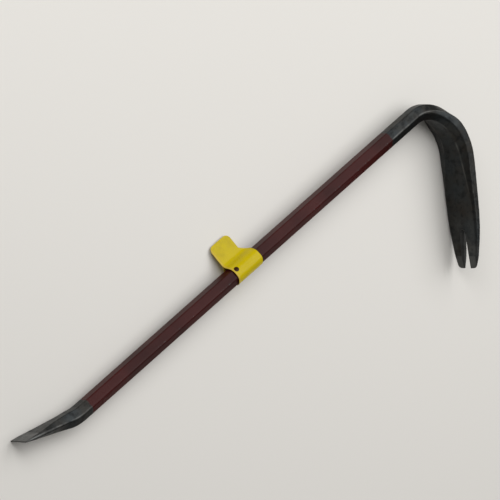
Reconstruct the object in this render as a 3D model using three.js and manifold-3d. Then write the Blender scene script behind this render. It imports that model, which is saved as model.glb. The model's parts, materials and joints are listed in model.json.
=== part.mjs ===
// Gooseneck wrecking bar: one forging from hexagon bar, with a two-pronged claw at one end,
// a bent chisel at the other, and a folded flag tag that hangs round the shank.
//
// Millimetres, +Z up. The bar lies on its side: X runs along the shank towards the hook, the
// claw points to -Y and the chisel is set off to +Y. The origin is under the middle of the
// whole part, on the surface that it lies on.

import * as THREE from 'three';
import { mergeVertices } from 'three/addons/utils/BufferGeometryUtils.js';
import Module from 'manifold-3d';

// Stock and overall size
const barLength = 762; // chisel edge to the outside of the crown, along the shank
const hexFlats = 19; // across the flats
const hexLand = 1.2; // width of the blunted corner between two flats
const edgeBreak = 0.5; // small bevel on every forged edge

// Crown and claw
const neckRadius = 38; // middle line of the first, tighter stretch of the bend
const neckTurnDeg = 60;
const sweepRadius = 69; // and of the second, which runs out into the claw
const sweepTurnDeg = 53;
const clawLength = 135; // end of the bend to the prong tips, along the middle line
const clawTurnDeg = 4; // slight talon curve of the claw
const clawWidth = 50;
const clawTipWidth = 30;
const clawThickness = 16.5; // where the bend ends
const clawGrindThickness = 6.6; // where the ground tips begin
const clawGrindLength = 15;
const clawTipThickness = 1.6;
const flareStartShare = 0.06; // of the bend, where the stock starts to spread
const flareEndShare = 0.6;
const parallelShare = 0.45; // of the claw, over which its sides stay parallel
const facetFadeShare = 0.5; // of the claw, over which the hexagon's slanted flats fade out
const tipCornerRadius = 4.5;

// Nail slot
const slotDepth = 46;
const slotMouth = 10;
const slotRoot = 4.6; // width, and so the diameter of the round root
const slotBevel = 2.2; // how far the bevel widens each side at the inner face
const slotBevelDepth = 2.6;

// Chisel
const chiselTurnDeg = 16;
const chiselBendRadius = 73;
const chiselLength = 76; // edge to the start of the bend
const chiselWidth = 28;
const chiselEdgeThickness = 1.4;
const chiselGrindLength = 13;
const chiselGrindThickness = 4.6;
const chiselSpreadLength = 70; // over which the hexagon is drawn out to the blade

// Tag: one strip of film, looped round the shank and closed on itself as a flag
const tagFromChisel = 388.5; // chisel edge to the middle of the loop
const tagWidth = 43.5; // along the shank
const flagWidth = 33.5;
const flagReach = 42.3; // shank axis to the free edge
const filmThickness = 0.5;
const loopClearance = 0.5; // from the corners of the hexagon
const closeReach = 18.5; // shank axis to where the two leaves meet
const shoulderStart = 12; // from the shank axis
const shoulderEnd = 21;
const flagCornerRadius = 7;
const floorClearance = 0.3; // under the drooping edge of the flag
const loopLeaveDeg = 52; // where a leaf leaves the round of the loop, from the flag
const loopPullShare = 0.55; // of the loop's radius: how softly a leaf bends into the flag

// Form of the section: how much of it is flat, as shares of its own half sizes
const bladeFlatShare = 0.94;
const bladeLandShare = 0.5;
const flareFlatShare = 0.46;
const flareLandShare = 0.6;
const clawFlatShare = 0.86;
const clawLandShare = 0.6;

// Fineness and cutting
const ringStep = 4;
const shankSteps = 5;
const cutOverrun = 3;
const weldDistance = 1e-5; // corners nearer than this are one
const slotSteps = 12;
const arcSteps = 40;
const mostBreakShare = 0.25; // of a side of the section: the most that one edge break takes
const supportShare = 1e-6; // of the bar's length: how near a point has to be to touch the floor

const wasm = await Module();
wasm.setup();

const degrees = THREE.MathUtils.degToRad;

// Ways to go from one value to the next
const straight = (x) => x;
const eased = (x) => x * x * (3 - 2 * x);
const late = (x) => x * x;

// Value at a place from keys of [place, value, way to reach it from the key before]
function valueAt(keys, place) {
  const next = keys.findIndex(([at]) => at > place);
  if (next === -1) return keys[keys.length - 1][1];
  if (next === 0) return keys[0][1];
  const [from, start] = keys[next - 1];
  const [to, end, way = straight] = keys[next];
  return start + (end - start) * way((place - from) / (to - from));
}

// Middle line of the bar, from the chisel edge to the prong tips, as straights and arcs
const hexCorners = hexFlats / Math.cos(degrees(30));
const hexHalfWidth = hexCorners / 2 - hexLand / 2 / Math.sqrt(3);
const hexFlatShare = hexCorners / 4 / hexHalfWidth; // half a side of the hexagon is a quarter of its corners
const chiselBend = degrees(chiselTurnDeg) * chiselBendRadius;
const neckBend = degrees(neckTurnDeg) * neckRadius;
const crownBend = neckBend + degrees(sweepTurnDeg) * sweepRadius;
const crownReach = neckRadius * Math.sin(degrees(neckTurnDeg))
  + sweepRadius * (1 - Math.sin(degrees(neckTurnDeg)));
const chiselReach = chiselLength * Math.cos(degrees(chiselTurnDeg))
  + chiselBendRadius * Math.sin(degrees(chiselTurnDeg));
const shankLength = barLength - chiselReach - crownReach - hexFlats / 2;
const runs = [
  { length: chiselLength, turn: 0 },
  { length: chiselBend, turn: degrees(chiselTurnDeg) },
  { length: shankLength, turn: 0 },
  { length: neckBend, turn: -degrees(neckTurnDeg) },
  { length: crownBend - neckBend, turn: -degrees(sweepTurnDeg) },
  { length: clawLength, turn: -degrees(clawTurnDeg) },
];
const shankStart = chiselLength + chiselBend;
const crownStart = shankStart + shankLength;
const clawStart = crownStart + crownBend;
const barEnd = clawStart + clawLength;

// Point and heading on the middle line; the shank runs along X at Y = 0
function middleAt(place) {
  let point = new THREE.Vector2(0, 0);
  let heading = -degrees(chiselTurnDeg);
  let left = place;
  for (const run of runs) {
    const step = Math.min(left, run.length);
    const turn = run.turn * step / run.length;
    const chord = turn === 0 ? step : 2 * run.length / run.turn * Math.sin(turn / 2);
    const direction = heading + turn / 2;
    point = new THREE.Vector2(
      point.x + chord * Math.cos(direction),
      point.y + chord * Math.sin(direction),
    );
    heading += turn;
    left -= step;
  }
  return { point, heading };
}
const shankOffset = middleAt(shankStart).point.y;

// Section of the bar at a place: half sizes, and how far its flats and side lands reach
const flareStart = crownStart + flareStartShare * crownBend;
const flareEnd = crownStart + flareEndShare * crownBend;
const parallelEnd = clawStart + parallelShare * clawLength;
const facetEnd = clawStart + facetFadeShare * clawLength;
const clawGrindStart = barEnd - clawGrindLength;
const hexLandShare = hexLand / hexFlats;

const halfWidthKeys = [
  [0, chiselWidth / 2],
  [chiselSpreadLength, hexHalfWidth, eased],
  [flareStart, hexHalfWidth],
  [flareEnd, clawWidth / 2, eased],
  [parallelEnd, clawWidth / 2],
  [barEnd, clawTipWidth / 2, late],
];
const halfThicknessKeys = [
  [0, chiselEdgeThickness / 2],
  [chiselGrindLength, chiselGrindThickness / 2],
  [chiselLength, hexFlats / 2],
  [crownStart, hexFlats / 2],
  [clawStart, clawThickness / 2, eased],
  [clawGrindStart, clawGrindThickness / 2],
  [barEnd, clawTipThickness / 2],
];
const flatShareKeys = [
  [0, bladeFlatShare],
  [chiselSpreadLength, hexFlatShare, eased],
  [flareStart, hexFlatShare],
  [flareEnd, flareFlatShare, eased],
  [facetEnd, clawFlatShare, eased],
];
const landShareKeys = [
  [0, bladeLandShare],
  [chiselSpreadLength, hexLandShare, eased],
  [flareStart, hexLandShare],
  [flareEnd, flareLandShare, eased],
  [facetEnd, clawLandShare, eased],
];

// The section as a ring of points (a across the bend, b along its axle), corners broken
function sectionAt(place) {
  const thick = valueAt(halfThicknessKeys, place);
  const wide = valueAt(halfWidthKeys, place);
  const flat = valueAt(flatShareKeys, place) * wide;
  const land = valueAt(landShareKeys, place) * thick;
  const quarter = [[thick, flat], [land, wide]];
  const half = [...quarter, ...quarter.map(([a, b]) => [-a, b]).reverse()];
  const whole = [...half, ...half.map(([a, b]) => [-a, -b])];
  const corners = whole.map(([a, b]) => new THREE.Vector2(a, b));
  return corners.flatMap((corner, i) => {
    const before = corners[(i + corners.length - 1) % corners.length];
    const after = corners[(i + 1) % corners.length];
    return [before, after].map((other) => {
      const side = other.clone().sub(corner);
      const taken = Math.min(edgeBreak, mostBreakShare * side.length());
      return corner.clone().add(side.setLength(taken));
    });
  });
}

// Points in space of a section, standing square on the middle line
function ringAt(place) {
  const { point, heading } = middleAt(place);
  return sectionAt(place).map(({ x: a, y: b }) => new THREE.Vector3(
    point.x - a * Math.sin(heading),
    point.y - shankOffset + a * Math.cos(heading),
    b,
  ));
}

// Places of the rings: every key and every change of curve, with even steps in the shaped stretches
function ringPlaces() {
  const keys = [halfWidthKeys, halfThicknessKeys, flatShareKeys].flat().map(([at]) => at);
  const curves = [chiselLength, shankStart, crownStart, crownStart + neckBend, clawStart];
  const stops = [...new Set([...keys, ...curves])].sort((p, q) => p - q);
  const places = [stops[0]];
  for (let i = 1; i < stops.length; i += 1) {
    const plain = stops[i - 1] >= shankStart && stops[i] <= crownStart;
    const steps = plain ? shankSteps : Math.ceil((stops[i] - stops[i - 1]) / ringStep);
    for (let k = 1; k <= steps; k += 1) {
      places.push(stops[i - 1] + (stops[i] - stops[i - 1]) * k / steps);
    }
  }
  return places;
}

// Closed skin over a row of rings that all have as many points
function skin(rings) {
  const size = rings[0].length;
  const index = [];
  for (let i = 0; i + 1 < rings.length; i += 1) {
    for (let j = 0; j < size; j += 1) {
      const here = i * size + j;
      const next = i * size + (j + 1) % size;
      index.push(here, next, next + size, here, next + size, here + size);
    }
  }
  const last = (rings.length - 1) * size;
  for (let j = 1; j + 1 < size; j += 1) {
    index.push(0, j + 1, j);
    index.push(last, last + j, last + j + 1);
  }
  const points = rings.flat().flatMap((p) => p.toArray());
  const geometry = new THREE.BufferGeometry();
  geometry.setAttribute('position', new THREE.Float32BufferAttribute(points, 3));
  geometry.setIndex(index);
  return geometry;
}

// Between three.js geometry and solids for cutting
function toSolid(geometry) {
  const bare = geometry.clone();
  bare.deleteAttribute('normal');
  bare.deleteAttribute('uv');
  const merged = mergeVertices(bare, weldDistance);
  return new wasm.Manifold(new wasm.Mesh({
    numProp: 3,
    vertProperties: new Float32Array(merged.attributes.position.array),
    triVerts: new Uint32Array(merged.index.array),
  }));
}

function toGeometry(solid) {
  const { vertProperties, triVerts } = solid.getMesh();
  const geometry = new THREE.BufferGeometry();
  geometry.setAttribute('position', new THREE.BufferAttribute(vertProperties, 3));
  geometry.setIndex(new THREE.BufferAttribute(triVerts, 1));
  return geometry;
}

// Extrudes a shape drawn in the plane of a frame's first two axes, as far to both sides of it
function prism(shape, reach, frame) {
  const options = { depth: 2 * reach, bevelEnabled: false, curveSegments: arcSteps };
  const geometry = new THREE.ExtrudeGeometry(shape, options);
  geometry.translate(0, 0, -reach);
  geometry.applyMatrix4(frame);
  return geometry;
}

// Frame on the claw's inner face: X back from the prong tips, Y along the axle of the bend,
// Z out of the face towards the shank
function innerFace(place) {
  const { point, heading } = middleAt(place);
  const out = valueAt(halfThicknessKeys, place);
  return new THREE.Vector3(
    point.x + out * Math.sin(heading),
    point.y - shankOffset - out * Math.cos(heading),
    0,
  );
}

function slotFrame() {
  const tip = innerFace(clawGrindStart);
  const back = innerFace(barEnd - slotDepth).sub(tip).normalize();
  const across = new THREE.Vector3(0, 0, -1);
  const out = back.clone().cross(across);
  const origin = tip.clone().addScaledVector(back, -clawGrindLength);
  return new THREE.Matrix4().makeBasis(back, across, out).setPosition(origin);
}

// Outline of the V slot, grown by a margin: open past the tips, with a round root
function slotOutline(margin) {
  const root = slotRoot / 2 + margin;
  const mouth = slotMouth / 2 + margin;
  const centre = slotDepth - slotRoot / 2;
  const lean = Math.atan2(mouth - root, centre);
  const points = [];
  for (let i = 0; i <= slotSteps; i += 1) {
    const angle = lean + (Math.PI - 2 * lean) * i / slotSteps - Math.PI / 2;
    points.push(new THREE.Vector2(centre + root * Math.cos(angle), root * Math.sin(angle)));
  }
  const open = mouth + cutOverrun * Math.tan(lean);
  points.push(new THREE.Vector2(-cutOverrun, open), new THREE.Vector2(-cutOverrun, -open));
  return points;
}

// The slot itself, and the bevel that lets a nail head seat in it
function slotCutters() {
  const frame = slotFrame();
  const layer = (outline, height) => outline.map(({ x, y }) => (
    new THREE.Vector3(x, y, height).applyMatrix4(frame)
  ));
  const through = skin([
    layer(slotOutline(0), -clawThickness - cutOverrun),
    layer(slotOutline(0), clawThickness + cutOverrun),
  ]);
  const lift = cutOverrun * slotBevel / slotBevelDepth;
  const bevel = skin([
    layer(slotOutline(0), -slotBevelDepth),
    layer(slotOutline(slotBevel + lift), cutOverrun),
  ]);
  return [through, bevel];
}

// Rounds the outer corner of each prong tip
function tipCutters() {
  const frame = slotFrame();
  const edge = clawTipWidth / 2;
  return [1, -1].map((side) => {
    const shape = new THREE.Shape();
    shape.moveTo(-cutOverrun, side * (edge + cutOverrun));
    shape.lineTo(-cutOverrun, side * (edge - tipCornerRadius));
    shape.lineTo(0, side * (edge - tipCornerRadius));
    shape.absarc(
      tipCornerRadius,
      side * (edge - tipCornerRadius),
      tipCornerRadius,
      Math.PI,
      side * Math.PI / 2,
      side > 0,
    );
    shape.lineTo(tipCornerRadius, side * (edge + cutOverrun));
    return prism(shape, clawThickness, frame);
  });
}

function barGeometry() {
  const blank = toSolid(skin(ringPlaces().map(ringAt)));
  const cutters = [...slotCutters(), ...tipCutters()];
  return toGeometry(cutters.reduce((solid, cutter) => solid.subtract(toSolid(cutter)), blank));
}

// Outline of the loop seen along the shank: round the hexagon, then drawn together at the flag
function drawLoop(path, radius, halfGap, reach) {
  const leave = degrees(loopLeaveDeg);
  const pull = loopPullShare * radius;
  const x = radius * Math.cos(leave);
  const y = radius * Math.sin(leave);
  const pullX = x + pull * Math.sin(leave);
  const pullY = y - pull * Math.cos(leave);
  path.lineTo(reach, halfGap);
  path.bezierCurveTo(reach - pull, halfGap, pullX, pullY, x, y);
  path.absarc(0, 0, radius, leave, 2 * Math.PI - leave, false);
  path.bezierCurveTo(pullX, -pullY, reach - pull, -halfGap, reach, -halfGap);
}

// Outline of the strip laid flat: the band over the loop, a sloping shoulder, and the flag
function stripOutline() {
  const low = -tagWidth / 2;
  const high = tagWidth / 2;
  const flagSide = low + flagWidth;
  const back = -flagReach;
  const corner = flagReach - flagCornerRadius;
  const shape = new THREE.Shape();
  shape.moveTo(low, back);
  shape.lineTo(high, back);
  shape.lineTo(high, shoulderStart);
  shape.lineTo(flagSide, shoulderEnd);
  shape.lineTo(flagSide, corner);
  shape.absarc(flagSide - flagCornerRadius, corner, flagCornerRadius, 0, Math.PI / 2, false);
  shape.lineTo(low + flagCornerRadius, flagReach);
  shape.absarc(low + flagCornerRadius, corner, flagCornerRadius, Math.PI / 2, Math.PI, false);
  return shape;
}

// The tag in its own frame: X along the shank, the flag towards Y
function tagGeometry() {
  const inside = hexCorners / 2 + loopClearance;
  const outside = inside + filmThickness;
  const shape = new THREE.Shape();
  shape.moveTo(flagReach + cutOverrun, -filmThickness);
  shape.lineTo(flagReach + cutOverrun, filmThickness);
  drawLoop(shape, outside, filmThickness, closeReach);
  const bore = new THREE.Path();
  bore.moveTo(closeReach, 0);
  drawLoop(bore, inside, 0, closeReach);
  shape.holes.push(bore);
  const alongShank = new THREE.Matrix4().makeBasis(
    new THREE.Vector3(0, 1, 0),
    new THREE.Vector3(0, 0, 1),
    new THREE.Vector3(1, 0, 0),
  );
  const asDrawn = new THREE.Matrix4();
  const loop = prism(shape, tagWidth / 2 + cutOverrun, alongShank);
  const strip = prism(stripOutline(), outside + cutOverrun, asDrawn);
  return toGeometry(toSolid(loop).intersect(toSolid(strip)));
}

// Corners of a solid, and the middle of its mass
function cornersOf(geometry) {
  const { position } = geometry.attributes;
  const corners = [];
  for (let i = 0; i < position.count; i += 1) {
    corners.push(new THREE.Vector3().fromBufferAttribute(position, i));
  }
  return corners;
}

function massCentre(geometry) {
  const corners = cornersOf(geometry);
  const sum = new THREE.Vector3();
  let volume = 0;
  for (let i = 0; i < geometry.index.count; i += 3) {
    const [a, b, c] = [0, 1, 2].map((k) => corners[geometry.index.getX(i + k)]);
    const share = a.dot(b.clone().cross(c));
    volume += share;
    sum.addScaledVector(a, share).addScaledVector(b, share).addScaledVector(c, share);
  }
  return sum.divideScalar(4 * volume);
}

// The floor that carries the bar on its side: it touches the chisel at one point and the hook at
// two, with every other point above it and the middle of the mass between them
function findFloor(geometry) {
  const low = cornersOf(geometry).filter((p) => p.z < -hexHalfWidth);
  const centre = massCentre(geometry);
  const chisel = low.filter((p) => p.x < shankLength / 2);
  const hook = low.filter((p) => p.x > shankLength / 2);
  const touch = supportShare * barLength;
  for (const a of chisel) {
    for (const b of hook) {
      for (const c of hook) {
        const up = b.clone().sub(a).cross(c.clone().sub(a)).normalize();
        const height = (p) => up.dot(p.clone().sub(a));
        const within = [[a, b], [b, c], [c, a]].every(([from, to]) => (
          to.clone().sub(from).cross(centre.clone().sub(from)).dot(up) > 0
        ));
        if (up.z > 0 && within && low.every((p) => height(p) > -touch)) return { up, height };
      }
    }
  }
  throw new Error('the bar finds no rest on its side');
}

const barShape = barGeometry();
const floor = findFloor(barShape);

// How far the flag drops from level before its edge meets the floor
function flagDroop(middle) {
  const ends = [-tagWidth / 2, flagWidth - tagWidth / 2].map((x) => new THREE.Vector3(middle + x, 0, 0));
  const height = Math.min(...ends.map(floor.height)) - filmThickness - floorClearance;
  const slope = Math.atan2(floor.up.y, floor.up.z);
  return slope + Math.asin(height / (flagReach * Math.hypot(floor.up.y, floor.up.z)));
}

function barMesh() {
  const paintedSteel = new THREE.MeshStandardMaterial({ color: 0x3b1c19, roughness: 0.45, metalness: 0.3 });
  const mesh = new THREE.Mesh(barShape, paintedSteel);
  mesh.name = 'bar';
  return mesh;
}

function tagMesh() {
  const yellowFilm = new THREE.MeshStandardMaterial({ color: 0xd9c21a, roughness: 0.4, metalness: 0 });
  const mesh = new THREE.Mesh(tagGeometry(), yellowFilm);
  mesh.name = 'tag';
  mesh.position.x = tagFromChisel;
  mesh.rotation.x = -flagDroop(mesh.position.x);
  return mesh;
}

const wreckingBar = new THREE.Group();
wreckingBar.add(barMesh(), tagMesh());
wreckingBar.quaternion.setFromUnitVectors(floor.up, new THREE.Vector3(0, 0, 1));
wreckingBar.updateMatrixWorld(true);
const reach = new THREE.Box3().setFromObject(wreckingBar, true);
const middle = reach.getCenter(new THREE.Vector3());
wreckingBar.position.set(-middle.x, -middle.y, -reach.min.z);
wreckingBar.updateMatrixWorld(true);

export default wreckingBar;
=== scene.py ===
import json
import math

import bpy
from mathutils import Matrix, Vector


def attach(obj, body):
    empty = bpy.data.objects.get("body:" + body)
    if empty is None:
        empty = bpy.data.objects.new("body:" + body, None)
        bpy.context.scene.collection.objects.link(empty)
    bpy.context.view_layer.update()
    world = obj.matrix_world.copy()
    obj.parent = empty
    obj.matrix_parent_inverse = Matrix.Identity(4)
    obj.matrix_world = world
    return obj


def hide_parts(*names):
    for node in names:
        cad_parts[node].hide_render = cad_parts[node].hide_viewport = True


# A gooseneck wrecking bar that lies on its side, with a flag tag round its shank.
# Metres. Both pieces are made straight or flat first, in the bar's own frame: X runs along the
# shank, the claw bends to -Y, and Z is the axle of the bends.

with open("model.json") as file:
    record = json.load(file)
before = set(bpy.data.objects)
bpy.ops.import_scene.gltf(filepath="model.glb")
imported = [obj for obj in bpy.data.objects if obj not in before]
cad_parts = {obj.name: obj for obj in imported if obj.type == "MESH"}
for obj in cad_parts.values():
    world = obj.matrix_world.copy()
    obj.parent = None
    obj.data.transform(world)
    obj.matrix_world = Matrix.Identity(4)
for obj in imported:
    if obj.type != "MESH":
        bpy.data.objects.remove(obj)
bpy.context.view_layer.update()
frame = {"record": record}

MM = 0.001
NEARLY_ZERO = 1e-4

# The forging
HEX_SIDES = 6
HEX_FLATS = 19 * MM
HEX_CORNERS = HEX_FLATS / math.cos(math.pi / HEX_SIDES)
HEX_LAND = 1.2 * MM
HEX_HALF_WIDTH = (HEX_CORNERS - HEX_LAND * math.tan(math.pi / HEX_SIDES)) / 2
SHANK_LENGTH = 617.18 * MM
NECK_RADIUS = 38 * MM
NECK_TURN = math.radians(60)
SWEEP_RADIUS = 69 * MM
SWEEP_TURN = math.radians(53)
CLAW_LENGTH = 135 * MM
CLAW_TURN = math.radians(4)
CLAW_WIDTH = 50 * MM
CLAW_TIP_WIDTH = 30 * MM
CLAW_THICKNESS = 16.5 * MM
CLAW_GRIND_THICKNESS = 6.6 * MM
CLAW_GRIND_LENGTH = 15 * MM
CLAW_TIP_THICKNESS = 1.6 * MM
TIP_CORNER_RADIUS = 4.5 * MM
CHISEL_TURN = math.radians(16)
CHISEL_BEND_RADIUS = 73 * MM
CHISEL_LENGTH = 76 * MM
CHISEL_WIDTH = 28 * MM
CHISEL_EDGE_THICKNESS = 1.4 * MM
CHISEL_GRIND_LENGTH = 13 * MM
CHISEL_GRIND_THICKNESS = 4.6 * MM
CHISEL_SPREAD_LENGTH = 70 * MM

# Shares of the gooseneck over which the hexagon flares out, and of the claw where its sides
# start to draw in and its slanted facets end
FLARE_SHARES = (0.06, 0.6)
PARALLEL_SHARE = 0.45
FACETS_SHARE = 0.5

# The nail slot
SLOT_DEPTH = 46 * MM
SLOT_MOUTH = 10 * MM
SLOT_ROOT = 4.6 * MM
SLOT_BEVEL = 2.2 * MM
SLOT_BEVEL_DEPTH = 2.6 * MM
OVERRUN = 3 * MM

# The section, as shares of its half thickness and half width: where its flat face ends, and
# where its side ends
HEX_SHARES = (HEX_CORNERS / 4 / HEX_HALF_WIDTH, HEX_LAND / HEX_FLATS)
BLADE_SHARES = (0.94, 0.5)
NECK_SHARES = (0.46, 0.6)
CLAW_SHARES = (0.86, 0.6)

# The forging's mesh: its rings lie closer together at both ends than along the shank
RINGS = 560
RING_POINTS = 120
TIGHT_END_SHARE = 0.85
SHANK_DENT_SHARE = 0.12
SLOT_ROOT_POINTS = 48
SHARP_TURN = math.radians(28)

# The tag
TAG_FROM_CHISEL = 388.5 * MM
TAG_WIDTH = 43.5 * MM
FLAG_WIDTH = 33.5 * MM
FLAG_REACH = 42.3 * MM
FILM_THICKNESS = 0.5 * MM
LOOP_CLEARANCE = 0.5 * MM
CLOSE_REACH = 18.5 * MM
SHOULDER_START = 12 * MM
SHOULDER_END = 21 * MM
FLAG_CORNER_RADIUS = 7 * MM
FOLD_LENGTH = 13.4 * MM
LOOP_LEAVE = math.radians(52)
LOOP_PULL_SHARE = 0.55
IMPRINT_FADE_SHARE = 1.8
CURL_SHARES = (0.35, 0.9)
TAG_ROWS = 400
TAG_COLUMNS = 72
WELD_DISTANCE = 0.002 * MM

# What is left between the flag and the floor, which sets how far the flag droops
FLOOR_CLEARANCE = 0.3 * MM

# The print on the tag
PALE_BORDER = 2.4 * MM
BORDER_BLUR = 0.2 * MM
PALE_SHARE = 0.85
DISC_IN = 5.2 * MM
DISC_FROM_EDGE = 41 * MM
DISC_RADIUS = 3.1 * MM
DISC_BLUR = 0.25 * MM

# Paint and ground steel, as places from the chisel edge, with the wander and blur of their edges
PAINT_START = 104 * MM
PAINT_END = 660 * MM
PAINT_LINE_WANDER = 6 * MM
PAINT_LINE_BLUR = 0.6 * MM
CHISEL_BRIGHT_TO = 23 * MM
GRIND_LINE_WANDER = 2 * MM
GRIND_LINE_BLUR = 0.4 * MM

# Wear: how far it reaches from the ground faces, from the flag's free edge, and from a corner as
# a share of the section's half size
RUBBED_LENGTH = 60 * MM
GRUBBY_LENGTH = 26 * MM
CORNER_SHARE = 0.06

# The depth of the fine relief
STEEL_RELIEF = 0.16 * MM
FILM_RELIEF = 0.35 * MM

# How fine each pattern is: its cells on a metre, its layers and their roughness
PATTERNS = {
    "dents": (90.0, 1.0, 0.5),
    "curl": (38.0, 1.0, 0.5),
    "paint line": (150.0, 3.0, 0.5),
    "chips": (330.0, 4.0, 0.62),
    "bald": (26.0, 2.0, 0.5),
    "clouds": (30.0, 5.0, 0.6),
    "blotches": (130.0, 5.0, 0.65),
    "grain": (900.0, 3.0, 0.7),
    "worn": (75.0, 4.0, 0.5),
    "rubbed": (48.0, 6.0, 0.65),
    "grind line": (60.0, 2.0, 0.5),
    "wheel": (2600.0, 2.0, 0.6),
    "sheen": (22.0, 3.0, 0.5),
    "coat": (260.0, 1.0, 0.5),
    "grime": (95.0, 5.0, 0.65),
    "scuffs": (1400.0, 3.0, 0.7),
    "waves": (70.0, 2.0, 0.5),
}

# The two values of a pattern between which its spots set in, and those between which a pattern
# makes a finish rougher or duller all over
SETS_IN = {
    "dents": (0.35, 0.7),
    "chips": (0.735, 0.76),
    "bald": (0.45, 0.75),
    "clouds": (0.4, 0.66),
    "blotches": (0.5, 0.64),
    "grain": (0.5, 0.75),
    "worn": (0.42, 0.6),
    "rubbed": (0.42, 0.68),
    "sheen": (0.35, 0.7),
    "grime": (0.45, 0.75),
    "scuffs": (0.4, 0.7),
}
EVEN_SHARES = (0.3, 0.7)

# How strongly the patterns show
CHIP_CORNER_SHARE = 0.13
CHIP_BALD_SHARE = 0.06
BLOTCH_SHARE = 0.7
GRAIN_SHARE = 0.45
WORN_SHARE = 0.45
RUBBED_SHARE = 0.5
MILLED_SHARE = 0.7
WHEEL_SHARES = (0.62, 1.0)
WHEEL_STRETCH_SHARE = 0.03
PIT_SHARES = (0.6, 0.5)
WHEEL_RELIEF_SHARE = 0.25
COAT_SHARES = (0.12, 0.75)
GRIME_SHARE = 0.4
GRIME_BAND_SHARE = 0.25
SCUFF_STRETCH_SHARE = 0.2

# Finishes: how rough from the glossiest to the dullest, how metallic, and how strongly they shine
PAINT_ROUGHNESS = (0.26, 0.36)
SCALE_ROUGHNESS = (0.34, 0.5)
GROUND_SMOOTHER = 0.1
FILM_ROUGHNESS = (0.17, 0.34)
FLOOR_ROUGHNESS = 0.85
STEEL_METALLIC = 0.9
PAINT_SHINE = 0.12
FILM_SHINE = 0.14

# The photograph's view: how the camera is turned off the bar's plane, rolled and pitched, how far
# off it is, and how far its aim lies from a point near the bar's middle
VIEW_TURN = math.radians(42.9)
VIEW_ROLL = math.radians(33.1)
VIEW_PITCH = math.radians(0.7)
VIEW_DISTANCE = 6.53
VIEW_RIGHT = -0.0288
VIEW_UP = 0.1095
VIEW_CENTRE = Vector((0, -0.02, 0.02))
PIXELS_PER_METRE = 858
PICTURE_PIXELS = 500

# The studio: each lamp's direction from the bar, distance, size and power
FLOOR_SIZE = 9
DAYLIGHT = (1.0, 0.98, 0.95, 1.0)
DAYLIGHT_STRENGTH = 0.2
WINDOW_LAMP = ((-0.2, 0.72, 0.68), 2.2, 1.1, 18)
OVERHEAD_PANEL = ((0.54, 0.14, 0.83), 2.2, 2.4, 44)

# Places along the middle line, from the chisel edge to the prong tips
SHANK_START = CHISEL_LENGTH + CHISEL_TURN * CHISEL_BEND_RADIUS
CHISEL_REACH = CHISEL_LENGTH * math.cos(CHISEL_TURN) + CHISEL_BEND_RADIUS * math.sin(CHISEL_TURN)
CROWN_START = SHANK_START + SHANK_LENGTH
SWEEP_START = CROWN_START + NECK_TURN * NECK_RADIUS
CLAW_START = SWEEP_START + SWEEP_TURN * SWEEP_RADIUS
BAR_END = CLAW_START + CLAW_LENGTH
CLAW_GRIND_START = BAR_END - CLAW_GRIND_LENGTH
FLARE_START = CROWN_START + FLARE_SHARES[0] * (CLAW_START - CROWN_START)
FLARE_END = CROWN_START + FLARE_SHARES[1] * (CLAW_START - CROWN_START)
SIDES_PARALLEL_TO = CLAW_START + PARALLEL_SHARE * CLAW_LENGTH
FACETS_END = CLAW_START + FACETS_SHARE * CLAW_LENGTH
STRAIGHT_OVER_OWN = SHANK_START - CHISEL_REACH

# The named inputs of both shapes
STOCK_SIZES = {
    "Bar End": BAR_END,
    "Half Flats": HEX_FLATS / 2,
    "Half Corners": HEX_HALF_WIDTH,
    "Chisel Half Width": CHISEL_WIDTH / 2,
    "Chisel Edge": CHISEL_EDGE_THICKNESS / 2,
    "Chisel Grind": CHISEL_GRIND_THICKNESS / 2,
    "Claw Half Width": CLAW_WIDTH / 2,
    "Claw Tip Half Width": CLAW_TIP_WIDTH / 2,
    "Claw Thickness": CLAW_THICKNESS / 2,
    "Claw Grind": CLAW_GRIND_THICKNESS / 2,
    "Claw Tip": CLAW_TIP_THICKNESS / 2,
    "Corner Softness": 0.12,
    "Dent Depth": 0.16 * MM,
}
TAG_SIZES = {
    "Loop Radius": HEX_CORNERS / 2 + LOOP_CLEARANCE + FILM_THICKNESS / 2,
    "Corner Imprint": 0.4 * MM,
    "Film": 0.42 * MM,
    "Half Gap": 0.27 * MM,
    "Curl": 1.4 * MM,
}


class Tree:
    """A node tree that is being made: each node is added with what it reads already wired."""

    def __init__(self, tree):
        self.tree = tree

    def wire(self, socket, value):
        if isinstance(value, bpy.types.NodeSocket):
            self.tree.links.new(value, socket)
        else:
            socket.default_value = value

    def add(self, kind, wires=(), **settings):
        node = self.tree.nodes.new(kind)
        for name, value in settings.items():
            setattr(node, name, value)
        for name, value in dict(wires).items():
            self.wire(node.inputs[name], value)
        return node

    def math(self, operation, *values):
        node = self.add("ShaderNodeMath", operation=operation)
        for socket, value in zip(node.inputs, values):
            self.wire(socket, value)
        return node.outputs[0]

    def vector(self, x, y, z):
        return self.add("ShaderNodeCombineXYZ", {"X": x, "Y": y, "Z": z}).outputs[0]

    def parts(self, vector):
        return self.add("ShaderNodeSeparateXYZ", {"Vector": vector}).outputs

    def ramp(self, value, start, end, low=0.0, high=1.0, ease="LINEAR"):
        wires = {"Value": value, "From Min": start, "From Max": end, "To Min": low, "To Max": high}
        return self.add("ShaderNodeMapRange", wires, interpolation_type=ease).outputs["Result"]

    def line(self, value, place, blur):
        """0 before a place and 1 past it, with a blurred step between."""
        return self.ramp(value, place - blur, place + blur)

    def pattern(self, name, vector):
        """A cloudy pattern of values round a half."""
        cells, layers, roughness = PATTERNS[name]
        wires = {"Vector": vector, "Scale": cells, "Detail": layers, "Roughness": roughness}
        return self.add("ShaderNodeTexNoise", wires).outputs["Fac"]

    def spots(self, name, pattern, high=1.0, ease="LINEAR"):
        """Where a pattern has set in, from nothing to high."""
        return self.ramp(pattern, *SETS_IN[name], 0.0, high, ease)


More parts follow.
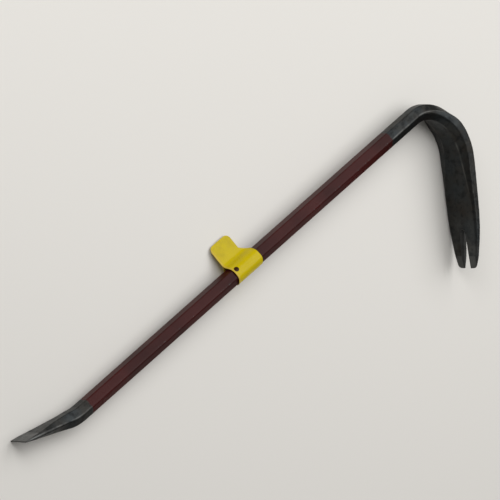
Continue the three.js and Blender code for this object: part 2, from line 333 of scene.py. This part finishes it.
class Shape(Tree):
    """A Geometry Nodes tree with named inputs, which makes one mesh."""

    def __init__(self, name, sizes):
        super().__init__(bpy.data.node_groups.new(name, "GeometryNodeTree"))
        face = self.tree.interface
        face.new_socket("Geometry", in_out="INPUT", socket_type="NodeSocketGeometry")
        face.new_socket("Geometry", in_out="OUTPUT", socket_type="NodeSocketGeometry")
        for label in sizes:
            face.new_socket(label, in_out="INPUT", socket_type="NodeSocketFloat")
        self.given = self.tree.nodes.new("NodeGroupInput").outputs

    def moved(self, geometry, **wires):
        wires = {"Geometry": geometry, **wires}
        return self.add("GeometryNodeSetPosition", wires).outputs[0]

    def stored(self, geometry, name, value, domain="POINT"):
        wires = {"Geometry": geometry, "Name": name, "Value": value}
        node = self.add("GeometryNodeStoreNamedAttribute", wires, data_type="FLOAT", domain=domain)
        return node.outputs[0]

    def position(self):
        return self.parts(self.add("GeometryNodeInputPosition").outputs[0])

    def mixed(self, share, a, b):
        """Between two vectors."""
        node = self.add("ShaderNodeMix", data_type="VECTOR", clamp_factor=False)
        self.wire(node.inputs[0], share)
        self.wire(node.inputs[4], a)
        self.wire(node.inputs[5], b)
        return node.outputs[1]

    def joined(self, *geometries):
        both = self.add("GeometryNodeJoinGeometry")
        for geometry in geometries:
            self.wire(both.inputs[0], geometry)
        return both.outputs[0]

    def finished(self, solid, material):
        """Smooth faces that meet at sharp edges only where the surface turns sharply."""
        angle = self.add("GeometryNodeInputMeshEdgeAngle").outputs["Unsigned Angle"]
        soft = self.math("LESS_THAN", angle, SHARP_TURN)
        for domain, smooth in (("EDGE", soft), ("FACE", True)):
            wires = {"Geometry": solid, "Shade Smooth": smooth}
            solid = self.add("GeometryNodeSetShadeSmooth", wires, domain=domain).outputs[0]
        solid = self.add("GeometryNodeRealizeInstances", {"Geometry": solid}).outputs[0]
        wires = {"Geometry": solid, "Material": material}
        return self.end(self.add("GeometryNodeSetMaterial", wires).outputs[0])

    def end(self, geometry):
        out = self.tree.nodes.new("NodeGroupOutput")
        self.wire(out.inputs[0], geometry)
        return self.tree


def along(shape, place, keys):
    """Value at a place, from keys of (place, value, how it is reached from the key before)."""
    value = keys[0][1]
    for (start, _, _), (end, goal, ease) in zip(keys, keys[1:]):
        if ease == "LATE":
            share = shape.math("POWER", shape.ramp(place, start, end), 2.0)
            change = shape.math("MULTIPLY", share, shape.math("SUBTRACT", goal, value))
            value = shape.math("ADD", value, change)
        else:
            value = shape.ramp(place, start, end, value, goal, ease)
    return value


def round_corner(shape, place, start, radius):
    """How far a round corner, which starts at a place, has drawn an edge in."""
    into = shape.math("MAXIMUM", shape.math("SUBTRACT", place, start), 0.0)
    left = shape.math("SUBTRACT", radius ** 2, shape.math("POWER", into, 2.0))
    rise = shape.math("SQRT", shape.math("MAXIMUM", left, 0.0))
    return shape.math("SUBTRACT", radius, rise)


def bend_group():
    """Bends what lies past a place of a straight bar round an axle that is parallel to Z.
    Side says which end bends, +1 or -1 along X, and Way to which side of Y it goes."""
    shape = Shape("bend", ("Start", "Radius", "Turn", "Side", "Way"))
    given, math_ = shape.given, shape.math
    x, y, z = shape.position()
    past = math_("MULTIPLY", math_("SUBTRACT", x, given["Start"]), given["Side"])
    aside = math_("MULTIPLY", y, given["Way"])
    bent = math_("MINIMUM", past, math_("MULTIPLY", given["Radius"], given["Turn"]))
    beyond = math_("SUBTRACT", past, bent)
    angle = math_("DIVIDE", bent, given["Radius"])
    sine = math_("SINE", angle)
    cosine = math_("COSINE", angle)
    arm = math_("SUBTRACT", given["Radius"], aside)
    forward = math_("MULTIPLY_ADD", arm, sine, math_("MULTIPLY", beyond, cosine))
    drop = math_("SUBTRACT", given["Radius"], math_("MULTIPLY", arm, cosine))
    across = math_("MULTIPLY_ADD", beyond, sine, drop)
    new_x = math_("MULTIPLY_ADD", forward, given["Side"], given["Start"])
    new_y = math_("MULTIPLY", across, given["Way"])
    return shape.end(shape.moved(
        given["Geometry"],
        Selection=math_("GREATER_THAN", past, 0.0),
        Position=shape.vector(new_x, new_y, z),
    ))


def drawn_stock(shape):
    """The straight bar with its section already drawn out: X is the place along the middle line."""
    given, math_, ramp = shape.given, shape.math, shape.ramp
    tube = shape.add("GeometryNodeMeshCylinder", {
        "Vertices": RING_POINTS, "Side Segments": RINGS, "Radius": 1.0, "Depth": 1.0,
    }, fill_type="NGON").outputs["Mesh"]
    x, y, z = shape.position()
    share = math_("ADD", z, 0.5)
    tight = ramp(share, 0.0, 1.0, ease="SMOOTHSTEP")
    even = math_("MULTIPLY", share, 1 - TIGHT_END_SHARE)
    spread = math_("MULTIPLY_ADD", tight, TIGHT_END_SHARE, even)
    place = math_("MULTIPLY", given["Bar End"], spread)
    half_width = along(shape, place, [
        (0.0, given["Chisel Half Width"], None),
        (CHISEL_SPREAD_LENGTH, given["Half Corners"], "SMOOTHSTEP"),
        (FLARE_START, given["Half Corners"], "LINEAR"),
        (FLARE_END, given["Claw Half Width"], "SMOOTHSTEP"),
        (SIDES_PARALLEL_TO, given["Claw Half Width"], "LINEAR"),
        (BAR_END, given["Claw Tip Half Width"], "LATE"),
    ])
    half_thickness = along(shape, place, [
        (0.0, given["Chisel Edge"], None),
        (CHISEL_GRIND_LENGTH, given["Chisel Grind"], "LINEAR"),
        (CHISEL_LENGTH, given["Half Flats"], "LINEAR"),
        (CROWN_START, given["Half Flats"], "LINEAR"),
        (CLAW_START, given["Claw Thickness"], "SMOOTHSTEP"),
        (CLAW_GRIND_START, given["Claw Grind"], "LINEAR"),
        (BAR_END, given["Claw Tip"], "LINEAR"),
    ])
    flat, side = (along(shape, place, [
        (0.0, BLADE_SHARES[k], None),
        (CHISEL_SPREAD_LENGTH, HEX_SHARES[k], "SMOOTHSTEP"),
        (FLARE_START, HEX_SHARES[k], "LINEAR"),
        (FLARE_END, NECK_SHARES[k], "SMOOTHSTEP"),
        (FACETS_END, CLAW_SHARES[k], "SMOOTHSTEP"),
    ]) for k in range(len(HEX_SHARES)))
    drawn_in = round_corner(shape, place, BAR_END - TIP_CORNER_RADIUS, TIP_CORNER_RADIUS)
    half_width = math_("SUBTRACT", half_width, drawn_in)

    # How far out the section goes at each angle: to its flat face, its side or its slanted facet,
    # whichever comes first, with a soft corner between them
    angle = math_("ARCTAN2", y, x)
    cosine = math_("COSINE", angle)
    sine = math_("SINE", angle)
    up = math_("MAXIMUM", math_("ABSOLUTE", cosine), NEARLY_ZERO)
    out = math_("MAXIMUM", math_("ABSOLUTE", sine), NEARLY_ZERO)
    slant_up = math_("SUBTRACT", 1.0, flat)
    slant_out = math_("SUBTRACT", 1.0, side)
    reach = math_("MULTIPLY_ADD", slant_out, flat, slant_up)
    lean = math_("MULTIPLY_ADD", slant_out, out, math_("MULTIPLY", slant_up, up))
    to_face = math_("DIVIDE", 1.0, up)
    to_side = math_("DIVIDE", 1.0, out)
    to_slant = math_("DIVIDE", reach, lean)
    square = math_("SMOOTH_MIN", to_face, to_side, given["Corner Softness"])
    radial = math_("SMOOTH_MIN", square, to_slant, given["Corner Softness"])
    off_edge = math_("ABSOLUTE", math_("SUBTRACT", math_("MINIMUM", to_face, to_side), to_slant))
    a = math_("MULTIPLY", half_thickness, math_("MULTIPLY", radial, cosine))
    b = math_("MULTIPLY", half_width, math_("MULTIPLY", radial, sine))
    tube = shape.stored(tube, "off_edge", off_edge)
    return shape.moved(tube, Position=shape.vector(place, a, b))


def slot_wedge(shape, heights, margins):
    """A V with a round root between two heights, wider by a margin at each. Its own X points back
    from the prong tips, and its own Z out of the claw's inner face."""
    root_centre = SLOT_DEPTH - SLOT_ROOT / 2
    posts = []
    for height, margin in zip(heights, margins):
        root = SLOT_ROOT / 2 + margin
        mouth = SLOT_MOUTH / 2 + margin
        half = mouth + OVERRUN * (mouth - root) / root_centre
        wires = {"Vertices": SLOT_ROOT_POINTS, "Radius": root}
        disc = shape.add("GeometryNodeMeshCircle", wires).outputs[0]
        wires = {"Geometry": disc, "Translation": (root_centre, 0, height)}
        posts.append(shape.add("GeometryNodeTransform", wires).outputs[0])
        posts.append(shape.add("GeometryNodeMeshLine", {
            "Count": 2,
            "Start Location": (-OVERRUN, -half, height),
            "Offset": (-OVERRUN, half, height),
        }, mode="END_POINTS").outputs[0])
    return shape.add("GeometryNodeConvexHull", {"Geometry": shape.joined(*posts)}).outputs[0]


def slot_cutters(shape):
    """The V slot, with its round root, and the bevel round it at the claw's inner face."""
    slope = (CLAW_THICKNESS - CLAW_GRIND_THICKNESS) / 2 / (CLAW_GRIND_START - CLAW_START)
    lean = math.atan(slope)
    inner = CLAW_GRIND_THICKNESS / 2 - CLAW_GRIND_LENGTH * slope
    lift = SLOT_BEVEL * OVERRUN / SLOT_BEVEL_DEPTH
    through = CLAW_THICKNESS + OVERRUN
    wedges = (
        slot_wedge(shape, (-through, through), (0, 0)),
        slot_wedge(shape, (-SLOT_BEVEL_DEPTH, OVERRUN), (0, SLOT_BEVEL + lift)),
    )
    turn = Matrix((
        (-math.cos(lean), 0, math.sin(lean)),
        (-math.sin(lean), 0, -math.cos(lean)),
        (0, -1, 0),
    ))
    return [shape.stored(shape.add("GeometryNodeTransform", {
        "Geometry": wedge, "Translation": (BAR_END, -inner, 0), "Rotation": turn.to_euler(),
    }).outputs[0], "milled", 1.0, "FACE") for wedge in wedges]


def hammered(shape, solid):
    """Hammer marks: shallow dents, deep on the forged ends and hardly there on the rolled shank."""
    x, _, _ = shape.position()
    at_chisel = shape.ramp(x, SHANK_START, CHISEL_LENGTH)
    at_claw = shape.ramp(x, CROWN_START, FLARE_END)
    depth = shape.ramp(shape.math("ADD", at_chisel, at_claw), 0.0, 1.0, SHANK_DENT_SHARE, 1.0)
    where = shape.add("GeometryNodeInputPosition").outputs[0]
    dents = shape.spots("dents", shape.pattern("dents", where), ease="SMOOTHSTEP")
    push = shape.math("MULTIPLY", dents, shape.math("MULTIPLY", depth, shape.given["Dent Depth"]))
    inward = shape.add("ShaderNodeVectorMath", {
        0: shape.add("GeometryNodeInputNormal").outputs[0],
        "Scale": shape.math("MULTIPLY", push, -1.0),
    }, operation="SCALE").outputs[0]
    return shape.moved(solid, Offset=inward)


def forging_tree(material):
    """Drawn out, slotted, hammered, and then bent, from the claw's own curve back to the chisel."""
    shape = Shape("forging", STOCK_SIZES)
    stock = shape.stored(drawn_stock(shape), "milled", 0.0, "FACE")
    wires = {"Mesh 1": stock}
    cut = shape.add("GeometryNodeMeshBoolean", wires, operation="DIFFERENCE", solver="EXACT")
    for cutter in slot_cutters(shape):
        shape.wire(cut.inputs["Mesh 2"], cutter)
    place, _, _ = shape.position()
    solid = hammered(shape, shape.stored(cut.outputs["Mesh"], "place", place))

    bend = bend_group()
    for start, radius, turn, side, way in (
        (CLAW_START, CLAW_LENGTH / CLAW_TURN, CLAW_TURN, 1.0, -1.0),
        (SWEEP_START, SWEEP_RADIUS, SWEEP_TURN, 1.0, -1.0),
        (CROWN_START, NECK_RADIUS, NECK_TURN, 1.0, -1.0),
        (SHANK_START, CHISEL_BEND_RADIUS, CHISEL_TURN, -1.0, 1.0),
    ):
        wires = {"Start": start, "Radius": radius, "Turn": turn, "Side": side, "Way": way}
        wires = {"Geometry": solid, **wires}
        solid = shape.add("GeometryNodeGroup", wires, node_tree=bend).outputs[0]
    return shape.finished(solid, material)


def strip_path(shape, run, side, round_length):
    """Y and Z of the film's path: round the shank, then over the fold. Run is counted from the far
    side of the loop, and side says which of the strip's two halves it is."""
    given, math_ = shape.given, shape.math
    radius = given["Loop Radius"]

    # Round the shank, with the hexagon's corners showing through a little
    turned = math_("DIVIDE", math_("MINIMUM", run, round_length), radius)
    angle = math_("SUBTRACT", math.pi, turned)
    signed = math_("MULTIPLY", angle, side)
    lobes = math_("MULTIPLY", math_("SUBTRACT", signed, given["Droop"]), float(HEX_SIDES))
    between = math_("MULTIPLY_ADD", math_("COSINE", lobes), 0.5, 0.5)
    sunk = math_("MULTIPLY", between, given["Corner Imprint"])
    fade_start = math.pi - IMPRINT_FADE_SHARE * LOOP_LEAVE
    fading = shape.ramp(turned, fade_start, math.pi - LOOP_LEAVE, 1.0, 0.0, "SMOOTHSTEP")
    loop = math_("SUBTRACT", radius, math_("MULTIPLY", sunk, fading))
    round_y = math_("MULTIPLY", loop, math_("COSINE", angle))
    round_z = math_("MULTIPLY", loop, math_("SINE", angle))

    # From the round into the flag: a cubic curve that leaves and arrives without a kink
    share = math_("DIVIDE", math_("SUBTRACT", run, round_length), FOLD_LENGTH)
    share = math_("MINIMUM", math_("MAXIMUM", share, 0.0), 1.0)
    pull = math_("MULTIPLY", radius, LOOP_PULL_SHARE)
    start_y = math_("MULTIPLY", radius, math.cos(LOOP_LEAVE))
    start_z = math_("MULTIPLY", radius, math.sin(LOOP_LEAVE))
    leave_y = math_("MULTIPLY_ADD", pull, math.sin(LOOP_LEAVE), start_y)
    leave_z = math_("MULTIPLY_ADD", pull, -math.cos(LOOP_LEAVE), start_z)
    arrive_y = math_("SUBTRACT", CLOSE_REACH, pull)
    points = [
        shape.vector(0.0, start_y, start_z),
        shape.vector(0.0, leave_y, leave_z),
        shape.vector(0.0, arrive_y, given["Half Gap"]),
        shape.vector(0.0, CLOSE_REACH, given["Half Gap"]),
    ]
    while len(points) > 1:
        points = [shape.mixed(share, a, b) for a, b in zip(points, points[1:])]
    on_fold = math_("GREATER_THAN", run, round_length)
    path = shape.mixed(on_fold, shape.vector(0.0, round_y, round_z), points[0])
    _, y, z = shape.parts(path)
    return y, z


def tag_tree(material):
    """One strip of film that follows the loop round the shank and closes on itself as a flag.
    X runs along the shank and Y to the free edge."""
    shape = Shape("flag tag", (*TAG_SIZES, "Droop"))
    given, math_ = shape.given, shape.math
    grid = shape.add("GeometryNodeMeshGrid", {
        "Size X": 2.0, "Size Y": 1.0, "Vertices X": TAG_ROWS, "Vertices Y": TAG_COLUMNS,
    }).outputs["Mesh"]
    u, v, _ = shape.position()
    side = math_("SIGN", u)
    round_length = math_("MULTIPLY", given["Loop Radius"], math.pi - LOOP_LEAVE)
    leaf_length = FLAG_REACH - CLOSE_REACH
    half_length = math_("ADD", round_length, FOLD_LENGTH + leaf_length)
    run = math_("MULTIPLY", math_("ABSOLUTE", u), half_length)
    path_y, path_z = strip_path(shape, run, side, round_length)
    past_fold = math_("SUBTRACT", run, math_("ADD", round_length, FOLD_LENGTH))
    y = math_("ADD", path_y, math_("MAXIMUM", past_fold, 0.0))

    # Across: the band, the sloping shoulder, and the flag with its round corners
    low = -TAG_WIDTH / 2
    high = shape.ramp(y, SHOULDER_START, SHOULDER_END, TAG_WIDTH / 2, low + FLAG_WIDTH)
    drawn_in = round_corner(shape, y, FLAG_REACH - FLAG_CORNER_RADIUS, FLAG_CORNER_RADIUS)
    left = math_("ADD", drawn_in, low)
    right = math_("SUBTRACT", high, drawn_in)
    x = math_("MULTIPLY_ADD", math_("SUBTRACT", right, left), math_("ADD", v, 0.5), left)

    # The flag curls up a little towards its free edge, both leaves together
    out = shape.ramp(y, CLOSE_REACH, FLAG_REACH, ease="SMOOTHSTEP")
    least, spread = CURL_SHARES
    bow = math_("MULTIPLY_ADD", shape.pattern("curl", shape.vector(x, y, 0.0)), spread, least)
    curl = math_("MULTIPLY", math_("MULTIPLY", out, bow), given["Curl"])
    z = math_("MULTIPLY_ADD", path_z, side, curl)
    film = shape.stored(grid, "flag_x", x)
    film = shape.stored(film, "from_edge", math_("SUBTRACT", half_length, run))
    film = shape.moved(film, Position=shape.vector(x, y, z))

    wires = {"Mesh": film, "Offset Scale": given["Film"], "Individual": False}
    thick = shape.add("GeometryNodeExtrudeMesh", wires, mode="FACES").outputs["Mesh"]
    back = shape.add("GeometryNodeFlipFaces", {"Mesh": film}).outputs[0]
    wires = {"Geometry": shape.joined(thick, back), "Distance": WELD_DISTANCE}
    closed = shape.add("GeometryNodeMergeByDistance", wires).outputs[0]
    return shape.finished(closed, material)


def made(name, tree, values, place):
    """The plain mesh that a tree makes from its named inputs, with its place in its mesh."""
    seed = bpy.data.objects.new(name + "_seed", bpy.data.meshes.new(name + "_seed"))
    bpy.context.scene.collection.objects.link(seed)
    nodes = seed.modifiers.new("shape", "NODES")
    nodes.node_group = tree
    inputs = [s for s in tree.interface.items_tree if s.in_out == "INPUT"]
    sockets = {s.name: s.identifier for s in inputs}
    for label, value in values.items():
        nodes[sockets[label]] = value
    evaluated = seed.evaluated_get(bpy.context.evaluated_depsgraph_get())
    mesh = bpy.data.meshes.new_from_object(evaluated)
    bpy.data.objects.remove(seed)
    mesh.name = name
    mesh.transform(place)
    piece = bpy.data.objects.new(name, mesh)
    bpy.context.scene.collection.objects.link(piece)
    return piece


class Finish(Tree):
    """A material that is being made, on a Principled shader."""

    def __init__(self, name, **sockets):
        self.material = bpy.data.materials.new(name)
        self.material.use_nodes = True
        super().__init__(self.material.node_tree)
        self.shader = next(n for n in self.tree.nodes if n.type == "BSDF_PRINCIPLED")
        for label, value in sockets.items():
            self.shader.inputs[label.replace("_", " ")].default_value = value
        self.where = self.add("ShaderNodeTexCoord").outputs["Object"]

    def set(self, label, value):
        self.wire(self.shader.inputs[label], value)

    def named(self, name):
        return self.add("ShaderNodeAttribute", attribute_name=name).outputs["Fac"]

    def colour(self, share, a, b):
        node = self.add("ShaderNodeMix", data_type="RGBA")
        self.wire(node.inputs[0], share)
        self.wire(node.inputs[6], a)
        self.wire(node.inputs[7], b)
        return node.outputs[2]

    def bump(self, height, distance):
        return self.add("ShaderNodeBump", {"Height": height, "Distance": distance}).outputs[0]


def srgb(red, green, blue):
    """A colour as it is seen, as the linear value that a shader takes."""
    def linear(seen):
        return seen / 12.92 if seen <= 0.04045 else ((seen + 0.055) / 1.055) ** 2.4
    return (linear(red), linear(green), linear(blue), 1.0)


MAROON = srgb(0.23, 0.052, 0.044)
MAROON_DEEP = srgb(0.17, 0.038, 0.032)
FORGED = srgb(0.188, 0.2, 0.204)
FORGED_BROWN = srgb(0.195, 0.183, 0.168)
SCALE_DARK = srgb(0.105, 0.108, 0.112)
GROUND_STEEL = srgb(0.3, 0.302, 0.298)
WORN_STEEL = srgb(0.42, 0.42, 0.41)
YELLOW = srgb(0.745, 0.665, 0.005)
YELLOW_PALE = srgb(0.75, 0.64, 0.24)
DISC_DARK = srgb(0.2, 0.11, 0.03)
GRIME = srgb(0.42, 0.36, 0.12)
FLOOR_PALE = srgb(0.86, 0.85, 0.83)


def wandering(finish, name, place, wander):
    """A place that wavers to both sides, so that a line drawn at it is uneven."""
    waver = finish.math("MULTIPLY_ADD", finish.pattern(name, finish.where), wander, -wander / 2)
    return finish.math("ADD", place, waver)


def painted(steel, place, corner):
    """Where paint is: between two uneven brushed lines, but chipped through on some corners."""
    math_, where = steel.math, steel.where
    uneven = wandering(steel, "paint line", place, PAINT_LINE_WANDER)
    start = steel.line(uneven, PAINT_START + STRAIGHT_OVER_OWN, PAINT_LINE_BLUR)
    end = steel.line(uneven, PAINT_END + STRAIGHT_OVER_OWN, PAINT_LINE_BLUR)
    stretch = math_("MULTIPLY", start, math_("SUBTRACT", 1.0, end))
    chips = math_("MULTIPLY_ADD", corner, CHIP_CORNER_SHARE, steel.pattern("chips", where))
    bald = steel.spots("bald", steel.pattern("bald", where))
    chips = math_("MULTIPLY_ADD", bald, CHIP_BALD_SHARE, chips)
    return math_("MULTIPLY", stretch, math_("SUBTRACT", 1.0, steel.spots("chips", chips)))


def ground_faces(steel, place):
    """Where the steel is ground, at both tips and less so in the milled slot."""
    uneven = wandering(steel, "grind line", place, GRIND_LINE_WANDER)
    claw = steel.line(uneven, CLAW_GRIND_START, GRIND_LINE_BLUR)
    past_chisel = steel.line(uneven, CHISEL_BRIGHT_TO, GRIND_LINE_BLUR)
    tips = steel.math("MAXIMUM", claw, steel.math("SUBTRACT", 1.0, past_chisel))
    slot = steel.math("MULTIPLY", steel.named("milled"), MILLED_SHARE)
    return steel.math("MAXIMUM", tips, slot)


def steel_finish():
    """Maroon enamel on the shank, dark forge scale on both ends, bare ground steel at the tips."""
    steel = Finish("painted forged steel", Specular_IOR_Level=PAINT_SHINE)
    math_, ramp, where = steel.math, steel.ramp, steel.where
    place = steel.named("place")
    corner = ramp(steel.named("off_edge"), 0.0, CORNER_SHARE, 1.0, 0.0)
    paint = painted(steel, place, corner)
    ground = ground_faces(steel, place)

    # Forge scale in clouds, with a fine grain
    blotches = steel.pattern("blotches", where)
    grain = steel.pattern("grain", where)
    clouds = steel.spots("clouds", steel.pattern("clouds", where))
    scale = steel.colour(clouds, FORGED, FORGED_BROWN)
    scale = steel.colour(steel.spots("blotches", blotches, BLOTCH_SHARE), scale, SCALE_DARK)
    scale = steel.colour(steel.spots("grain", grain, GRAIN_SHARE), scale, SCALE_DARK)

    # Worn lighter on the corners, and rubbed in patches towards both tips, where the bar works
    worn = steel.spots("worn", steel.pattern("worn", where), WORN_SHARE)
    at_claw = ramp(place, CLAW_GRIND_START - RUBBED_LENGTH, CLAW_GRIND_START)
    at_chisel = ramp(place, CHISEL_BRIGHT_TO + RUBBED_LENGTH, CHISEL_BRIGHT_TO)
    rubbed = steel.spots("rubbed", steel.pattern("rubbed", where), RUBBED_SHARE)
    rubbed = math_("MULTIPLY", math_("ADD", at_claw, at_chisel), rubbed)
    worn = math_("MAXIMUM", math_("MULTIPLY", corner, worn), rubbed)

    # The lines of the wheel run along the ground faces
    _, _, height = steel.parts(where)
    stretched = steel.vector(math_("MULTIPLY", place, WHEEL_STRETCH_SHARE), 0.0, height)
    wheel = steel.pattern("wheel", stretched)
    bright = math_("MULTIPLY", ground, ramp(wheel, *EVEN_SHARES, *WHEEL_SHARES))
    metal = steel.colour(bright, steel.colour(worn, scale, WORN_STEEL), GROUND_STEEL)

    sheen = steel.pattern("sheen", where)
    maroon = steel.colour(steel.spots("sheen", sheen), MAROON, MAROON_DEEP)
    steel.set("Base Color", steel.colour(paint, metal, maroon))
    steel.set("Metallic", ramp(paint, 0.0, 1.0, STEEL_METALLIC, 0.0))
    bare = ramp(blotches, *EVEN_SHARES, *SCALE_ROUGHNESS)
    bare = math_("SUBTRACT", bare, math_("MULTIPLY", ground, GROUND_SMOOTHER))
    glossy = ramp(sheen, *EVEN_SHARES, *PAINT_ROUGHNESS)
    steel.set("Roughness", math_("MULTIPLY_ADD", paint, math_("SUBTRACT", glossy, bare), bare))

    # Relief: pits in the scale, wheel lines on the ground faces, and a thick even coat of paint
    coarse, fine = PIT_SHARES
    relief = math_("MULTIPLY_ADD", blotches, coarse, math_("MULTIPLY", grain, fine))
    lines = math_("MULTIPLY", wheel, WHEEL_RELIEF_SHARE)
    relief = math_("MULTIPLY_ADD", ground, math_("SUBTRACT", lines, relief), relief)
    uneven, level = COAT_SHARES
    coat = math_("MULTIPLY_ADD", steel.pattern("coat", where), uneven, level)
    relief = math_("MULTIPLY_ADD", paint, math_("SUBTRACT", coat, relief), relief)
    steel.set("Normal", steel.bump(relief, STEEL_RELIEF))
    return steel.material


def film_finish():
    """Yellow glossy film with a paler border and one plain dark disc near it on each leaf."""
    film = Finish("yellow film", Metallic=0.0, Specular_IOR_Level=FILM_SHINE)
    math_, ramp, where = film.math, film.ramp, film.where
    x = film.named("flag_x")
    from_edge = film.named("from_edge")
    inside = film.line(x, PALE_BORDER - TAG_WIDTH / 2, BORDER_BLUR)
    pale = math_("MULTIPLY", math_("SUBTRACT", 1.0, inside), PALE_SHARE)
    dx = math_("SUBTRACT", x, DISC_IN - TAG_WIDTH / 2)
    dy = math_("SUBTRACT", from_edge, DISC_FROM_EDGE)
    away = math_("SQRT", math_("ADD", math_("MULTIPLY", dx, dx), math_("MULTIPLY", dy, dy)))
    disc = ramp(away, DISC_RADIUS, DISC_RADIUS + DISC_BLUR, 1.0, 0.0)
    yellow = film.colour(pale, YELLOW, YELLOW_PALE)

    # Handled: greyed a little in patches, most at the free edge, with fine scuffs in the gloss
    at_edge = ramp(from_edge, GRUBBY_LENGTH, 0.0, GRIME_BAND_SHARE, 1.0)
    grime = film.spots("grime", film.pattern("grime", where), GRIME_SHARE)
    grime = film.colour(math_("MULTIPLY", grime, at_edge), yellow, GRIME)
    scuffs = film.pattern("scuffs", film.vector(math_("MULTIPLY", x, SCUFF_STRETCH_SHARE), dy, 0.0))
    film.set("Base Color", film.colour(disc, grime, DISC_DARK))
    film.set("Roughness", ramp(scuffs, *SETS_IN["scuffs"], *FILM_ROUGHNESS))
    film.set("Normal", film.bump(film.pattern("waves", where), FILM_RELIEF))
    return film.material


def lamp(name, direction, distance, side, power):
    """A soft square lamp that looks at the bar from a direction."""
    light = bpy.data.lights.new(name, "AREA")
    light.shape = "SQUARE"
    light.size = side
    light.energy = power
    thing = bpy.data.objects.new(name, light)
    bpy.context.scene.collection.objects.link(thing)
    back = Vector(direction).normalized()
    thing.location = back * distance
    thing.rotation_euler = back.to_track_quat("Z", "Y").to_euler()
    return thing


def studio():
    """A pale floor, even daylight and two soft lamps."""
    scene = bpy.context.scene
    scene.view_settings.view_transform = "Standard"
    world = bpy.data.worlds.new("daylight")
    world.use_nodes = True
    sky = world.node_tree.nodes["Background"].inputs
    sky["Color"].default_value = DAYLIGHT
    sky["Strength"].default_value = DAYLIGHT_STRENGTH
    scene.world = world
    bpy.ops.mesh.primitive_plane_add(size=FLOOR_SIZE)
    floor = bpy.context.object
    floor.name = "floor"
    pale = Finish("pale floor", Roughness=FLOOR_ROUGHNESS)
    pale.set("Base Color", FLOOR_PALE)
    floor.data.materials.append(pale.material)
    lamp("window lamp", *WINDOW_LAMP)
    lamp("overhead panel", *OVERHEAD_PANEL)


def photograph():
    """The camera, where the photograph was taken from."""
    scene = bpy.context.scene
    camera = bpy.data.objects.new("camera", bpy.data.cameras.new("camera"))
    scene.collection.objects.link(camera)
    scene.camera = camera
    across = Vector((math.cos(VIEW_ROLL), -math.sin(VIEW_ROLL), 0))
    up = Vector((math.sin(VIEW_ROLL), math.cos(VIEW_ROLL), 0))
    out = Vector((0, 0, 1))
    back = math.cos(VIEW_TURN) * out - math.sin(VIEW_TURN) * across
    right = math.cos(VIEW_TURN) * across + math.sin(VIEW_TURN) * out
    lifted = math.cos(VIEW_PITCH) * up - math.sin(VIEW_PITCH) * back
    back = math.cos(VIEW_PITCH) * back + math.sin(VIEW_PITCH) * up
    seen = VIEW_CENTRE + right * VIEW_RIGHT + lifted * VIEW_UP
    turned = Matrix((right, lifted, back)).transposed().to_4x4()
    camera.matrix_world = Matrix.Translation(seen + back * VIEW_DISTANCE) @ turned
    sensor_per_pixel = camera.data.sensor_width / PICTURE_PIXELS
    camera.data.lens = PIXELS_PER_METRE * VIEW_DISTANCE * sensor_per_pixel


def own_frame(record):
    """The bar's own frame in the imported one: the tag's hinge gives the shank, and a flat its side."""
    hinge = record["behaviour"]["joints"][0]
    back = next(m for m in record["mounts"] if m["name"] == "shank_flat_back")
    x = Vector(hinge["axis"]).normalized()
    y = Vector(back["axis"]).normalized()
    origin = Vector(hinge["pos_m"]) - x * TAG_FROM_CHISEL
    return Matrix.Translation(origin) @ Matrix((x, y, x.cross(y))).transposed().to_4x4()


# The flag hangs from the shank's axle down to just above the floor
own = own_frame(frame["record"])
up = own.to_3x3().transposed() @ Vector((0, 0, 1))
axle_height = (own @ Vector((TAG_FROM_CHISEL - TAG_WIDTH / 2, 0, 0))).z
height = axle_height - FILM_THICKNESS - FLOOR_CLEARANCE
droop = math.atan2(up.y, up.z) + math.asin(height / FLAG_REACH)

steel = steel_finish()
film = film_finish()
laid = own @ Matrix.Translation((-STRAIGHT_OVER_OWN, 0, 0))
forging = made("forging", forging_tree(steel), STOCK_SIZES, laid)
hung = own @ Matrix.Translation((TAG_FROM_CHISEL, 0, 0)) @ Matrix.Rotation(-droop, 4, "X")
flag_tag = made("flag_tag", tag_tree(film), {**TAG_SIZES, "Droop": droop}, hung)

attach(forging, "forging")
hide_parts("bar")
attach(flag_tag, "tag")
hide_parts("tag")

studio()
photograph()
